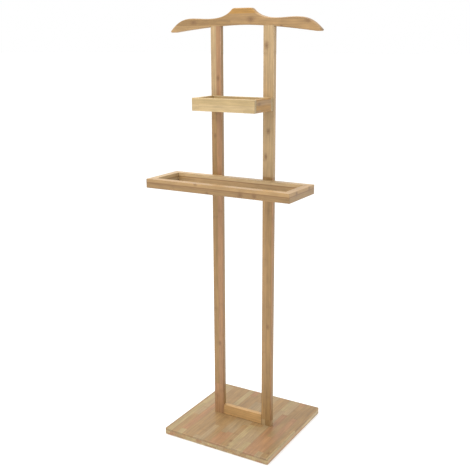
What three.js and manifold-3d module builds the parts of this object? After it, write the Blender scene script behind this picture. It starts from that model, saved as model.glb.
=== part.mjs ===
// Bamboo valet stand. A square base board carries two uprights that a bottom rail ties together.
// A shaped coat hanger board sits across their tops, and a shallow open tray and an open,
// mitred trouser frame are screwed to their front faces from behind.
// Millimetres, +Z up. The origin is on the floor, under the centre of the base. -Y is the front.

import * as THREE from 'three';
import { mergeVertices } from 'three/addons/utils/BufferGeometryUtils.js';
import Module from 'manifold-3d';

// Overall sizes
const standHeight = 1167;        // floor to the top of the hanger's neck
const baseWidth = 330;
const baseDepth = 330;
const hangerSpan = 440;          // tip to tip

// Base
const baseThickness = 18;
const baseCornerRadius = 4;
const footThickness = 2;         // felt feet that hold the base off the floor
const footRadius = 9;
const footInset = 28;            // foot centre in from both edges of the base

// Uprights and bottom rail
const uprightWidth = 31;
const uprightDepth = 13;
const uprightSpread = 187;       // between the two outer faces
const uprightFront = -10;        // Y of their front faces
const railHeight = 30;
const railDepth = 12;
const railSetback = 0.5;         // behind the uprights' front faces

// Hanger board, with heights from the seats that rest on the uprights
const hangerThickness = 18;
const armHeight = 18.2;          // seat to the low point beside the neck
const neckRise = 25.2;           // low point to the top of the neck
const neckHalfTop = 22;          // half of the level top of the neck
const neckCorner = 8;            // width and depth of the rounded shoulder of the neck
const neckFootX = 102;           // where the neck's flank has run out into the arm
const swellX = 150;              // crest of the arm's slight swelling
const swellRise = 1.8;           // crest above the low point
const archRise = 1.8;            // middle of the underside above the seats
const tipDrop = 15.4;            // tip's underside below the seats
const tipHeight = 3.6;           // rounded end of the tip
const tipFlat = 12;              // level stretch of the underside at each tip
const seatClearance = 0.3;       // beside an upright in its seat

// Tray
const trayWidth = 183.5;
const trayDepth = 97;
const trayHeight = 33;
const trayWall = 10;
const trayDrop = 177.5;          // tops of the uprights down to the tray's rim
const trayFloorThickness = 5;
const trayFloorRaise = 3;        // tray's lower edge to the underside of its floor
const trayGrooveDepth = 4;       // how far the floor runs into each wall
const grooveClearance = 0.25;

// Trouser frame
const trouserWidth = 423;
const trouserDepth = 141;
const trouserBarWidth = 20;
const trouserBarHeight = 24;
const trouserDrop = 213;         // tray's rim down to the top of the trouser frame

// Shared fits and finish
const easedEdge = 1;             // chamfer along the long edges
const glueLine = 0.15;           // between faces that are glued or drawn together
const boreClearance = 0.15;      // around a dowel or a screw, on the radius
const boreEndSpace = 0.5;        // past each end of a dowel or a screw's point

// Dowels: radius, length and how far each one enters its first piece
const hangerDowelRadius = 3;
const hangerDowelLength = 32;
const hangerDowelCover = 6;      // board left above a dowel
const hangerDowelSpacing = 15;
const railDowelRadius = 3;
const railDowelLength = 22;
const railDowelSpacing = 14;
const railDowelWeb = 2.5;        // upright left between a dowel and the base screw
const trayDowelRadius = 2.5;
const trayDowelLength = 18;
const trayDowelBite = 6;         // into the front or back wall
const mitreDowelRadius = 2.5;
const mitreDowelLength = 16;
const dowelChamfer = 0.6;

// Countersunk screws. A bite is how far the point goes into the piece that it holds.
const uprightScrew = { radius: 2.5, headRadius: 4.8, bite: 36 };
const railScrew = { radius: 2, headRadius: 3.9, bite: 18 };
const trayScrew = { radius: 1.75, headRadius: 3.5, bite: 7 };
const trouserScrew = { radius: 2, headRadius: 3.9, bite: 14 };
const railScrewInset = 28;       // in from each end of the rail
const trayScrewSpacing = 12;
const trouserScrewSpacing = 11;
const headSink = 0.6;            // head below the surface it is driven through
const recessDepth = 1.6;         // cross recess in each head
const recessWidth = 0.9;
const roundSides = 16;

// Levels and places that follow from the sizes
const baseTop = footThickness + baseThickness;
const uprightTop = standHeight - neckRise - armHeight;
const uprightLength = uprightTop - baseTop - 2 * glueLine;
const uprightOuter = uprightSpread / 2;
const uprightInner = uprightOuter - uprightWidth;
const uprightMiddleX = uprightOuter - uprightWidth / 2;
const uprightMiddleY = uprightFront + uprightDepth / 2;
const uprightBack = uprightFront + uprightDepth;
const railLength = 2 * (uprightInner - glueLine);
const railMiddleY = uprightFront + railSetback + railDepth / 2;
const shelfBack = uprightFront - glueLine;       // where the tray and the trouser frame start
const trayTop = uprightTop - trayDrop;
const trayBottom = trayTop - trayHeight;
const trouserTop = trayTop - trouserDrop;
const trouserMiddleZ = trouserTop - trouserBarHeight / 2;

const sides = { left: -1, right: 1 };

// Bamboo tones, from the palest strips to the warmest, and the small fittings
const bamboo = (colour) => new THREE.MeshStandardMaterial({ color: colour, roughness: 0.55, metalness: 0 });
const steel = () => new THREE.MeshStandardMaterial({ color: 0xb9b6ae, roughness: 0.35, metalness: 1 });
const beech = () => new THREE.MeshStandardMaterial({ color: 0xd9bd92, roughness: 0.75, metalness: 0 });
const felt = () => new THREE.MeshStandardMaterial({ color: 0x6f5a48, roughness: 0.95, metalness: 0 });

// Boolean work on closed meshes
const wasm = await Module();
wasm.setup();

function toSolid(geometry) {
  const bare = new THREE.BufferGeometry();
  bare.setAttribute('position', geometry.getAttribute('position'));
  bare.setIndex(geometry.getIndex());
  const merged = mergeVertices(bare, 1e-4);
  const corners = merged.getIndex().array;
  const whole = [];
  for (let i = 0; i < corners.length; i += 3) {
    const [a, b, c] = corners.slice(i, i + 3);
    if (a !== b && b !== c && c !== a) whole.push(a, b, c);
  }
  const vertProperties = new Float32Array(merged.getAttribute('position').array);
  const triVerts = new Uint32Array(whole);
  return new wasm.Manifold(new wasm.Mesh({ numProp: 3, vertProperties, triVerts }));
}

function toGeometry(solid) {
  const { vertProperties, triVerts } = solid.getMesh();
  const geometry = new THREE.BufferGeometry();
  geometry.setAttribute('position', new THREE.BufferAttribute(new Float32Array(vertProperties), 3));
  geometry.setIndex(new THREE.BufferAttribute(new Uint32Array(triVerts), 1));
  geometry.computeVertexNormals();
  return geometry;
}

const cut = (geometry, tool) => toGeometry(toSolid(geometry).subtract(toSolid(tool)));
const keepWithin = (geometry, tool) => toGeometry(toSolid(geometry).intersect(toSolid(tool)));

function addPiece(group, name, geometry, finish, place = [0, 0, 0]) {
  const piece = new THREE.Mesh(geometry, finish);
  piece.name = name;
  piece.position.set(...place);
  group.add(piece);
  return piece;
}

// Stock shapes

// A bar with eased long edges, centred on X and Y and running from 0 to its length along +Z.
function easedBar(width, depth, length) {
  const x = width / 2;
  const y = depth / 2;
  const e = easedEdge;
  const corners = [
    [x, e - y], [x, y - e], [x - e, y], [e - x, y],
    [-x, y - e], [-x, e - y], [e - x, -y], [x - e, -y],
  ];
  const outline = new THREE.Shape(corners.map(([u, v]) => new THREE.Vector2(u, v)));
  return new THREE.ExtrudeGeometry(outline, { depth: length, bevelEnabled: false });
}

// The same bar centred on the origin and lying along X or Y.
const barAlongX = (depth, height, length) => easedBar(height, depth, length)
  .translate(0, 0, -length / 2)
  .rotateY(Math.PI / 2);
const barAlongY = (width, height, length) => easedBar(width, height, length)
  .translate(0, 0, -length / 2)
  .rotateX(-Math.PI / 2);

// A plate cut from board, with its two outlines eased, from 0 to its thickness along +Z.
function easedPlate(outline, thickness) {
  const plate = new THREE.ExtrudeGeometry(outline, {
    depth: thickness - 2 * easedEdge,
    bevelEnabled: true,
    bevelThickness: easedEdge,
    bevelSize: easedEdge,
    bevelOffset: -easedEdge,
    bevelSegments: 1,
    curveSegments: 10,
  });
  return plate.translate(0, 0, easedEdge);
}

// A turned solid about Z from a profile of [radius, height] points, lowest first.
function turned(profile) {
  const points = profile.map(([radius, height]) => new THREE.Vector2(radius, height));
  return new THREE.LatheGeometry(points, roundSides).rotateX(Math.PI / 2);
}

// Fasteners. Each has a bore, its own shape with clearance, which is cut from what it passes through.

const boresThrough = new Map();

function fasten(fastener, ...pieces) {
  for (const piece of pieces) {
    const bores = boresThrough.get(piece) ?? [];
    boresThrough.set(piece, [...bores, fastener]);
  }
}

function addFastener(group, name, { body, bore }, finish, place, direction) {
  const piece = addPiece(group, name, body, finish, place);
  piece.quaternion.setFromUnitVectors(new THREE.Vector3(0, 0, 1), direction.clone().normalize());
  return { piece, bore };
}

// A dowel centred on the origin along Z.
function dowel(radius, length) {
  const half = length / 2;
  const end = half + boreEndSpace;
  const loose = radius + boreClearance;
  const body = turned([
    [0, -half], [radius - dowelChamfer, -half], [radius, dowelChamfer - half],
    [radius, half - dowelChamfer], [radius - dowelChamfer, half], [0, half],
  ]);
  const bore = turned([[0, -end], [loose, -end], [loose, end], [0, end]]);
  return { body, bore };
}

// A countersunk screw with its head's face on the origin and its point along +Z.
function screw({ radius, headRadius }, length) {
  const cone = headRadius - radius;
  const loose = radius + boreClearance;
  const wide = headRadius + boreClearance;
  const shank = turned([
    [0, 0], [headRadius, 0], [radius, cone], [radius, length - 2 * radius],
    [0.3 * radius, length], [0, length],
  ]);
  const slot = new THREE.BoxGeometry(headRadius, recessWidth, 2 * recessDepth);
  const crossSlot = slot.clone().rotateZ(Math.PI / 2);
  const body = cut(cut(shank, slot), crossSlot);
  const bore = turned([
    [0, -1 - headSink], [wide, -1 - headSink], [wide, boreClearance], [loose, cone + boreClearance],
    [loose, length + boreEndSpace], [0, length + boreEndSpace],
  ]);
  return { body, bore };
}

// Base board and its felt feet

const stand = new THREE.Group();
const base = new THREE.Group();
stand.add(base);

function roundedRectangle(width, depth, radius) {
  const x = width / 2;
  const y = depth / 2;
  const outline = new THREE.Shape();
  outline.moveTo(x, radius - y);
  outline.absarc(x - radius, y - radius, radius, 0, Math.PI / 2);
  outline.absarc(radius - x, y - radius, radius, Math.PI / 2, Math.PI);
  outline.absarc(radius - x, radius - y, radius, Math.PI, 1.5 * Math.PI);
  outline.absarc(x - radius, radius - y, radius, 1.5 * Math.PI, 2 * Math.PI);
  return outline;
}

const baseOutline = roundedRectangle(baseWidth, baseDepth, baseCornerRadius);
const baseBoard = addPiece(
  base, 'base_board', easedPlate(baseOutline, baseThickness), bamboo(0xb98f5f), [0, 0, footThickness],
);

for (const [end, y] of [['front', footInset - baseDepth / 2], ['back', baseDepth / 2 - footInset]]) {
  for (const [side, sign] of Object.entries(sides)) {
    const foot = turned([[0, 0], [footRadius, 0], [footRadius, footThickness], [0, footThickness]]);
    addPiece(base, `felt_foot_${end}_${side}`, foot, felt(), [sign * (baseWidth / 2 - footInset), y, 0]);
  }
}

// Uprights and bottom rail

const frame = new THREE.Group();
frame.position.set(0, 0, baseTop);
stand.add(frame);

const uprights = {};
for (const [side, sign] of Object.entries(sides)) {
  uprights[side] = addPiece(
    frame, `upright_${side}`, easedBar(uprightWidth, uprightDepth, uprightLength), bamboo(0xc39a6b),
    [sign * uprightMiddleX, uprightMiddleY, glueLine],
  );
}

const railMiddleZ = glueLine + railHeight / 2;
const bottomRail = addPiece(
  frame, 'bottom_rail', barAlongX(railDepth, railHeight, railLength), bamboo(0xc79f70),
  [0, railMiddleY, railMiddleZ],
);

// Hanger board

function hangerOutline() {
  const neckTop = armHeight + neckRise;
  const flankTop = [neckHalfTop + neckCorner, neckTop - 0.4 * neckCorner];
  const flankRun = neckFootX - flankTop[0];
  const tipX = hangerSpan / 2;
  const swellTop = armHeight + swellRise;
  const swellRun = swellX - neckFootX;
  const tipRun = tipX - swellX;
  const tipFall = swellTop + tipDrop - tipHeight;
  const undersideRun = tipX - tipFlat;
  const half = new THREE.Path();
  half.moveTo(0, neckTop);
  half.lineTo(neckHalfTop, neckTop);
  half.quadraticCurveTo(flankTop[0] - 0.4 * neckCorner, neckTop, ...flankTop);
  half.bezierCurveTo(
    flankTop[0] + 0.17 * flankRun, flankTop[1] - 0.52 * neckRise,
    flankTop[0] + 0.45 * flankRun, armHeight,
    neckFootX, armHeight,
  );
  half.bezierCurveTo(
    neckFootX + 0.4 * swellRun, armHeight,
    swellX - 0.4 * swellRun, swellTop,
    swellX, swellTop,
  );
  half.bezierCurveTo(
    swellX + 0.48 * tipRun, swellTop,
    swellX + 0.71 * tipRun, swellTop - 0.34 * tipFall,
    tipX, tipHeight - tipDrop,
  );
  half.quadraticCurveTo(tipX, -tipDrop, tipX - tipHeight, -tipDrop);
  half.lineTo(undersideRun, -tipDrop);
  half.bezierCurveTo(
    0.79 * undersideRun, archRise - 0.66 * (tipDrop + archRise),
    0.34 * undersideRun, archRise,
    0, archRise,
  );
  const right = half.getPoints(10);
  const left = right.slice(1, -1).reverse().map((point) => new THREE.Vector2(-point.x, point.y));
  return new THREE.Shape([...right, ...left]);
}

const hanger = new THREE.Group();
hanger.position.set(0, uprightFront, uprightTop);
stand.add(hanger);

let hangerShape = easedPlate(hangerOutline(), hangerThickness)
  .rotateX(Math.PI / 2)
  .translate(0, hangerThickness, 0);
for (const sign of Object.values(sides)) {
  const seatWidth = uprightWidth + 2 * seatClearance;
  const seat = new THREE.BoxGeometry(seatWidth, 3 * hangerThickness, tipDrop)
    .translate(sign * uprightMiddleX, 0, -tipDrop / 2);
  hangerShape = cut(hangerShape, seat);
}
const hangerBoard = addPiece(hanger, 'hanger_board', hangerShape, bamboo(0xcfa97c));

// Tray: front and back walls run the full width, side walls between them, and a floor in grooves

const tray = new THREE.Group();
tray.position.set(0, shelfBack, trayBottom);
stand.add(tray);

const traySideLength = trayDepth - 2 * trayWall - 2 * glueLine;
const trayMiddleY = -trayDepth / 2;
const trayInnerWidth = trayWidth - 2 * trayWall;
const trayInnerDepth = trayDepth - 2 * trayWall;
const trayFloorZ = trayFloorRaise + trayFloorThickness / 2;
const trayFloorTop = trayFloorRaise + trayFloorThickness;
const trayFixingZ = (trayFloorTop + trayHeight) / 2;

const floorGroove = new THREE.BoxGeometry(
  trayInnerWidth + 2 * trayGrooveDepth, trayInnerDepth + 2 * trayGrooveDepth,
  trayFloorThickness + 2 * grooveClearance,
);

function trayWallPiece(name, shape, colour, place) {
  const groove = floorGroove.clone().translate(-place[0], trayMiddleY - place[1], trayFloorZ - place[2]);
  return addPiece(tray, name, cut(shape, groove), bamboo(colour), place);
}

const trayFront = trayWallPiece(
  'tray_front', barAlongX(trayWall, trayHeight, trayWidth), 0xd6ba90,
  [0, trayWall / 2 - trayDepth, trayHeight / 2],
);
const trayBack = trayWallPiece(
  'tray_back', barAlongX(trayWall, trayHeight, trayWidth), 0xcda97a,
  [0, -trayWall / 2, trayHeight / 2],
);
const traySides = {};
for (const [side, sign] of Object.entries(sides)) {
  traySides[side] = trayWallPiece(
    `tray_side_${side}`, barAlongY(trayWall, trayHeight, traySideLength), 0xbf9562,
    [sign * (trayWidth - trayWall) / 2, trayMiddleY, trayHeight / 2],
  );
}
addPiece(
  tray, 'tray_floor',
  new THREE.BoxGeometry(
    trayInnerWidth + 2 * (trayGrooveDepth - grooveClearance),
    trayInnerDepth + 2 * (trayGrooveDepth - grooveClearance),
    trayFloorThickness,
  ),
  bamboo(0xc9a576), [0, trayMiddleY, trayFloorZ],
);

// Trouser frame: four bars with mitred corners

const trouserFrame = new THREE.Group();
trouserFrame.position.set(0, shelfBack - trouserDepth / 2, trouserMiddleZ);
stand.add(trouserFrame);

// The bar whose outer face is at +Y, its ends sloping in at 45 degrees by its own width.
function mitredBar(length) {
  const half = length / 2 - glueLine / Math.SQRT2;
  const w = trouserBarWidth;
  const plan = new THREE.Shape([
    new THREE.Vector2(-half, w / 2), new THREE.Vector2(w - half, -w / 2),
    new THREE.Vector2(half - w, -w / 2), new THREE.Vector2(half, w / 2),
  ]);
  const column = new THREE.ExtrudeGeometry(plan, { depth: 2 * trouserBarHeight, bevelEnabled: false });
  return keepWithin(barAlongX(w, trouserBarHeight, length), column.translate(0, 0, -trouserBarHeight));
}

const trouserBars = {};
for (const [name, turn, colour] of [['back', 0, 0xc59c69], ['front', Math.PI, 0xc59c69]]) {
  const y = Math.cos(turn) * (trouserDepth - trouserBarWidth) / 2;
  trouserBars[name] = addPiece(
    trouserFrame, `trouser_bar_${name}`, mitredBar(trouserWidth).rotateZ(turn), bamboo(colour), [0, y, 0],
  );
}
for (const [side, sign] of Object.entries(sides)) {
  const x = sign * (trouserWidth - trouserBarWidth) / 2;
  const bar = mitredBar(trouserDepth).rotateZ(-sign * Math.PI / 2);
  trouserBars[side] = addPiece(trouserFrame, `trouser_bar_${side}`, bar, bamboo(0xb88f5e), [x, 0, 0]);
}

// Screws and dowels. Directions are the way a screw points.

const up = new THREE.Vector3(0, 0, 1);
const forward = new THREE.Vector3(0, -1, 0);
const sideways = new THREE.Vector3(1, 0, 0);

const mid = (a, b) => (a + b) / 2;
const uprightScrewLength = baseThickness - headSink + glueLine + uprightScrew.bite;
const railScrewLength = baseThickness - headSink + glueLine + railScrew.bite;
const trayScrewLength = uprightDepth - headSink + glueLine + trayScrew.bite;
const trouserScrewLength = uprightDepth - headSink + glueLine + trouserScrew.bite;
const railDowelBite = uprightWidth / 2 - uprightScrew.radius - railDowelWeb;
const hangerDowelBite = armHeight - hangerDowelCover;

// The middle of the width of an upright that a shelf of this width bears on.
const bearingX = (shelfWidth) => mid(uprightInner, Math.min(uprightOuter, shelfWidth / 2));

for (const [side, sign] of Object.entries(sides)) {
  const upright = uprights[side];

  fasten(addFastener(
    base, `upright_screw_${side}`, screw(uprightScrew, uprightScrewLength), steel(),
    [sign * uprightMiddleX, uprightMiddleY, footThickness + headSink], up,
  ), baseBoard, upright);

  fasten(addFastener(
    base, `rail_screw_${side}`, screw(railScrew, railScrewLength), steel(),
    [sign * (railLength / 2 - railScrewInset), railMiddleY, footThickness + headSink], up,
  ), baseBoard, bottomRail);

  for (const [level, step] of [['lower', -0.5], ['upper', 0.5]]) {
    fasten(addFastener(
      frame, `rail_dowel_${side}_${level}`, dowel(railDowelRadius, railDowelLength), beech(),
      [sign * (uprightInner + railDowelBite - railDowelLength / 2), railMiddleY,
        railMiddleZ + step * railDowelSpacing], sideways,
    ), upright, bottomRail);

    fasten(addFastener(
      tray, `tray_screw_${side}_${level}`, screw(trayScrew, trayScrewLength), steel(),
      [sign * bearingX(trayWidth), uprightBack - headSink - shelfBack,
        trayFixingZ + step * trayScrewSpacing], forward,
    ), upright, trayBack);

    fasten(addFastener(
      trouserFrame, `trouser_screw_${side}_${level}`, screw(trouserScrew, trouserScrewLength), steel(),
      [sign * bearingX(trouserWidth), uprightBack - headSink - shelfBack + trouserDepth / 2,
        step * trouserScrewSpacing], forward,
    ), upright, trouserBars.back);
  }

  for (const [place, step] of [['inner', -0.5], ['outer', 0.5]]) {
    fasten(addFastener(
      hanger, `hanger_dowel_${side}_${place}`, dowel(hangerDowelRadius, hangerDowelLength), beech(),
      [sign * (uprightMiddleX + step * hangerDowelSpacing), uprightDepth / 2,
        hangerDowelBite - hangerDowelLength / 2], up,
    ), upright, hangerBoard);
  }

  for (const [end, facing, wall] of [['front', -1, trayFront], ['back', 1, trayBack]]) {
    const reach = trayDepth / 2 - trayWall + trayDowelBite - trayDowelLength / 2;
    fasten(addFastener(
      tray, `tray_dowel_${end}_${side}`, dowel(trayDowelRadius, trayDowelLength), beech(),
      [sign * (trayWidth - trayWall) / 2, trayMiddleY + facing * reach, trayFixingZ], forward,
    ), wall, traySides[side]);

    fasten(addFastener(
      trouserFrame, `mitre_dowel_${end}_${side}`, dowel(mitreDowelRadius, mitreDowelLength), beech(),
      [sign * (trouserWidth - trouserBarWidth) / 2, facing * (trouserDepth - trouserBarWidth) / 2, 0],
      new THREE.Vector3(sign, -facing, 0),
    ), trouserBars[end], trouserBars[side]);
  }
}

// Cut every bore, in the frame of the piece that it goes through.
stand.updateMatrixWorld(true);
for (const [piece, fasteners] of boresThrough) {
  const toPiece = piece.matrixWorld.clone().invert();
  for (const { piece: fastener, bore } of fasteners) {
    const placed = toPiece.clone().multiply(fastener.matrixWorld);
    piece.geometry = cut(piece.geometry, bore.clone().applyMatrix4(placed));
  }
}

export default stand;
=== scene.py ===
"""A laminated bamboo valet stand: square base, two uprights, coat hanger board, tray and trouser frame.

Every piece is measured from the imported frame, in metres, +Z up, with the front of the stand towards -Y.
"""

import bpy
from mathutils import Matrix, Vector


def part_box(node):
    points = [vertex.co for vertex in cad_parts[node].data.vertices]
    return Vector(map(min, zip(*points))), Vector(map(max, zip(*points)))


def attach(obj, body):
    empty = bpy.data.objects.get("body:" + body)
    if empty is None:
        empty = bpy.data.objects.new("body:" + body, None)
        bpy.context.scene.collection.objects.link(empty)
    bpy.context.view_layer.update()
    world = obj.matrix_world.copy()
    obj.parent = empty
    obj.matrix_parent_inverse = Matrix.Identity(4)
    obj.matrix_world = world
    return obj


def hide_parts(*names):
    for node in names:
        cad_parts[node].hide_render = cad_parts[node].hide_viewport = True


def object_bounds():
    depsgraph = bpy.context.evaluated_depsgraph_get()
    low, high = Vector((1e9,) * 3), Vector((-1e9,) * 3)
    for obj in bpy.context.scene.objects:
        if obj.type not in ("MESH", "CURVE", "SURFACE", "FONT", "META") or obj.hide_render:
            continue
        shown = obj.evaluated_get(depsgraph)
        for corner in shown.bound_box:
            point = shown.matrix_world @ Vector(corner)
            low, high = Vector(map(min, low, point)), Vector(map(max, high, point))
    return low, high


bl_info = {
    "name": "Bamboo Valet Stand",
    "version": (1, 0, 0),
    "blender": (4, 5, 0),
    "location": "3D View > Sidebar > Valet Stand",
    "description": "Builds a laminated bamboo valet stand and the studio that it stands in",
    "category": "Object",
}

import math

import bmesh
import bpy
from bpy.props import FloatProperty, FloatVectorProperty, IntProperty, PointerProperty
from mathutils import Euler, Matrix, Vector
from mathutils.geometry import interpolate_bezier

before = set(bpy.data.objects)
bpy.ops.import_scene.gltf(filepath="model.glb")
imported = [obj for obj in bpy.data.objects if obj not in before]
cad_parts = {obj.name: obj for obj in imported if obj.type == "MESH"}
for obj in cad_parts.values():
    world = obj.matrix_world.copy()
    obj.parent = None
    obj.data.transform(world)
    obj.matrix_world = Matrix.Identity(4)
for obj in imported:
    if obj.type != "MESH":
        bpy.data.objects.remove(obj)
CAD_BOX = [list(corner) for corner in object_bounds()]

MM = 0.001
X = Vector((1, 0, 0))
Y = Vector((0, 1, 0))
Z = Vector((0, 0, 1))
SIDES = ("left", "right")
ENDS = ("front", "back")
HEIGHTS = ("lower", "upper")
SHANK = 0.52    # of a screw head's radius
DOWEL_CHAMFER = 0.6 * MM
EXTRA_DEPTH = 0.5 * MM    # of a hole past the end of its screw or dowel
LEVEL = 0.1 * MM    # an edge that rises less than this counts as level
KNUCKLE_GAP = 270    # millimetres between the knuckles of one strip
STUDIO_FLOOR = 60    # metres from the middle to each side


def linear(hex_colour):
    """The linear RGBA of an sRGB hex colour such as "#c8a57d"."""
    channels = [int(hex_colour[i:i + 2], 16) / 255 for i in (1, 3, 5)]
    return tuple(c / 12.92 if c <= 0.04045 else ((c + 0.055) / 1.055) ** 2.4 for c in channels) + (1.0,)


# ---------------------------------------------------------------- settings


def size(name, description, millimetres):
    """A length setting, with its default in millimetres."""
    return FloatProperty(
        name=name, description=description, default=millimetres * MM, min=0, unit="LENGTH"
    )


def tone(name, description, hex_colour):
    """A colour setting, with its default as an sRGB hex colour."""
    return FloatVectorProperty(
        name=name, description=description, default=linear(hex_colour), size=4, min=0, max=1,
        subtype="COLOR",
    )


class ValetShape(bpy.types.PropertyGroup):
    """Sizes that finish the pieces and don't change what they measure overall."""

    bar_edge: size("Bar Edge", "Radius sanded on the long edges of the bars", 1.1)
    base_edge: size("Base Edge", "Radius routed round the top and bottom of the base", 1.6)
    base_corner: size("Base Corner", "Radius of the upright corners of the base", 4.0)
    hanger_edge: size("Hanger Edge", "Radius rounded over both faces of the hanger board", 2.0)
    hole_clearance: size("Hole Clearance", "Gap round a screw or a dowel", 0.15)
    edge_steps: IntProperty(
        name="Edge Steps", description="Facets across a rounded edge", default=4, min=1
    )
    round_steps: IntProperty(
        name="Round Steps", description="Facets round a screw head, a foot or a hole", default=48, min=12
    )


class BambooTones(bpy.types.PropertyGroup):
    """Colours of lacquered bamboo strips and of the small fittings."""

    cream: tone("Cream", "Strips picked out for the front of the tray", "#bba276")
    straw: tone("Straw", "Palest strips, from near the pith", "#b39a6c")
    honey: tone("Honey", "Most common strips", "#a98759")
    caramel: tone("Caramel", "Strips that were steamed a little longer", "#9f7d50")
    russet: tone("Russet", "Warm strips with a pink cast", "#a07852")
    blush: tone("Blush", "Pale strips, faintly pink", "#ae9269")
    toffee: tone("Toffee", "Warm light strips", "#bf9762")
    rose: tone("Rose", "Light strips with a reddish cast", "#ad8259")
    amber: tone("Amber", "Warm saturated strips", "#a47937")
    hazel: tone("Hazel", "Dark strips, long steamed", "#957447")
    knuckle: tone("Knuckle", "Brown of the joints of the cane", "#70502f")
    # Seam also colours the painted shadow line between the two layers of the trouser frame's bars.
    seam: tone("Seam", "Glue lines between strips", "#7c5a34")
    steel: tone("Steel", "Zinc plate on the screws", "#b9b7b0")
    beech: tone("Beech", "Turned dowels", "#d8bb90")
    felt: tone("Felt", "Felt feet", "#6b5646")


class StudioLight(bpy.types.PropertyGroup):
    """Lights and camera of the studio."""

    key_power: FloatProperty(
        name="Key", description="Large soft light, front left", default=20, unit="POWER"
    )
    fill_power: FloatProperty(
        name="Fill", description="Weak light, front right", default=1, unit="POWER"
    )
    top_power: FloatProperty(
        name="Top", description="Soft light overhead", default=36, unit="POWER"
    )
    sky: FloatProperty(
        name="Surround", description="Brightness of the white surround", default=1.0, min=0
    )
    place: FloatVectorProperty(
        name="Camera Place", description="Where the camera stands", default=(0.9748, -1.7072, 1.0833),
        subtype="TRANSLATION", unit="LENGTH",
    )
    lens: FloatProperty(name="Lens", description="Focal length in millimetres", default=56.8, min=1)
    azimuth: FloatProperty(
        name="Azimuth", description="Turn of the view about the stand", default=math.radians(30.43),
        unit="ROTATION",
    )
    pitch: FloatProperty(
        name="Pitch", description="How far the view looks down", default=math.radians(14.59),
        unit="ROTATION",
    )
    roll: FloatProperty(
        name="Roll", description="Tilt of the view", default=math.radians(-0.24), unit="ROTATION"
    )


# ---------------------------------------------------------------- nodes and finishes


def add_node(tree, kind, inputs=None, **settings):
    """Add a node, apply its settings, and link or set its inputs."""
    made = tree.nodes.new(kind)
    for name, value in settings.items():
        setattr(made, name, value)
    for key, value in (inputs or {}).items():
        if isinstance(value, bpy.types.NodeSocket):
            tree.links.new(value, made.inputs[key])
        else:
            made.inputs[key].default_value = value
    return made


def new_finish(name):
    """A material with no nodes yet, and its tree."""
    finish = bpy.data.materials.new(name)
    finish.use_nodes = True
    finish.node_tree.nodes.clear()
    return finish, finish.node_tree


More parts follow.
